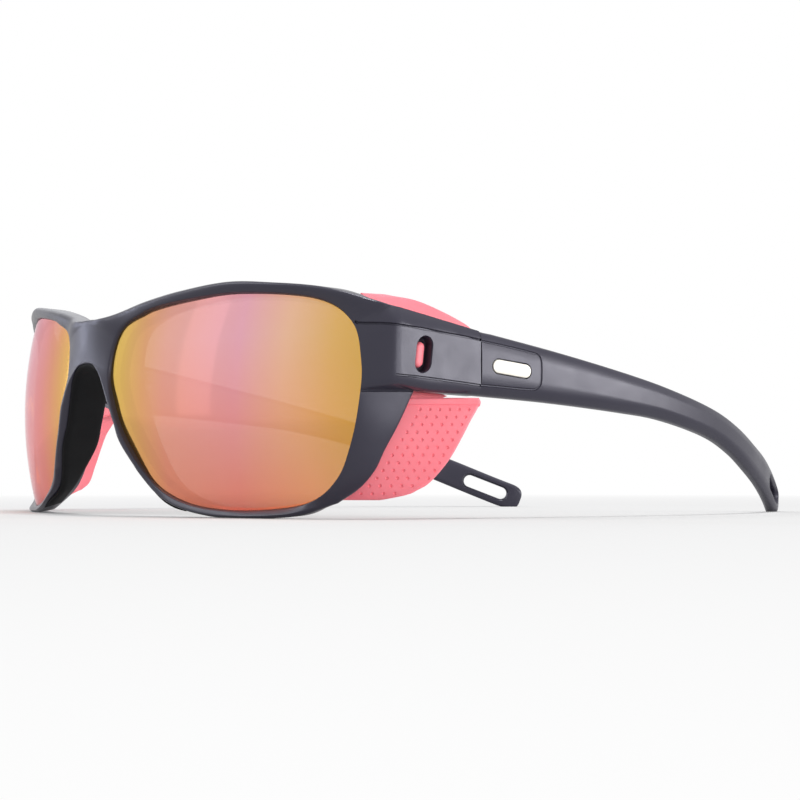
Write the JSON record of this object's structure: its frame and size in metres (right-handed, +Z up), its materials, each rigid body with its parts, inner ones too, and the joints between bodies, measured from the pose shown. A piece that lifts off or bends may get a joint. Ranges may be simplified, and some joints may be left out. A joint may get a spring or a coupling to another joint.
{
  "type": "glacier glasses",
  "caption": "Wraparound mountain sunglasses with mirrored lenses, folding temples that end in slotted straps for a cord, and clip-in coral side shields.",
  "frame": {"origin": "middle of the outer box of the open glasses, on the surface that their rims and temple ends stand on", "axes": "+X towards the wearer's left, +Y to the rear along the open temples, +Z up"},
  "size_m": [0.1412, 0.1498, 0.0446],
  "materials": {
    "frame_nylon": "satin dark anthracite with a violet cast",
    "lens_mirror": "rose mirror that turns gold towards the edges",
    "saddle_rubber": "matte black",
    "shield_coral": "soft matte coral",
    "inlay_satin": "satin silver",
    "hinge_steel": "plain"
  },
  "bodies": {
    "front": {"front_frame": "frame_nylon", "nose_saddle": "saddle_rubber", "lens_left": "lens_mirror", "front_hinge_leaf_left": "hinge_steel", "hinge_screw_left": "hinge_steel", "front_leaf_rivet_upper_left": "hinge_steel", "front_leaf_rivet_lower_left": "hinge_steel", "lens_right": "lens_mirror", "front_hinge_leaf_right": "hinge_steel", "hinge_screw_right": "hinge_steel", "front_leaf_rivet_upper_right": "hinge_steel", "front_leaf_rivet_lower_right": "hinge_steel"},
    "temple_left": {"temple_arm_left": "frame_nylon", "temple_inlay_left": "inlay_satin", "temple_hinge_leaf_left": "hinge_steel", "temple_leaf_rivet_upper_left": "hinge_steel", "temple_leaf_rivet_lower_left": "hinge_steel"},
    "shield_left": {"side_shield_left": "shield_coral"},
    "temple_right": {"temple_arm_right": "frame_nylon", "temple_inlay_right": "inlay_satin", "temple_hinge_leaf_right": "hinge_steel", "temple_leaf_rivet_upper_right": "hinge_steel", "temple_leaf_rivet_lower_right": "hinge_steel"},
    "shield_right": {"side_shield_right": "shield_coral"}
  },
  "joints": [
    {"name": "temple_fold_left", "type": "hinge", "parent": "front", "child": "temple_left", "pos_m": [0.0634, -0.02851, 0.029], "axis": [0, 0, 1], "range_deg": [0, 92]},
    {"name": "temple_fold_right", "type": "hinge", "parent": "front", "child": "temple_right", "pos_m": [-0.0634, -0.02851, 0.029], "axis": [0, 0, -1], "range_deg": [0, 80]},
    {"name": "shield_clip_left", "type": "slide", "parent": "front", "child": "shield_left", "axis": [-1, 0, 0], "range_m": [0, 0.004]},
    {"name": "shield_clip_right", "type": "slide", "parent": "front", "child": "shield_right", "axis": [1, 0, 0], "range_m": [0, 0.004]}
  ]
}
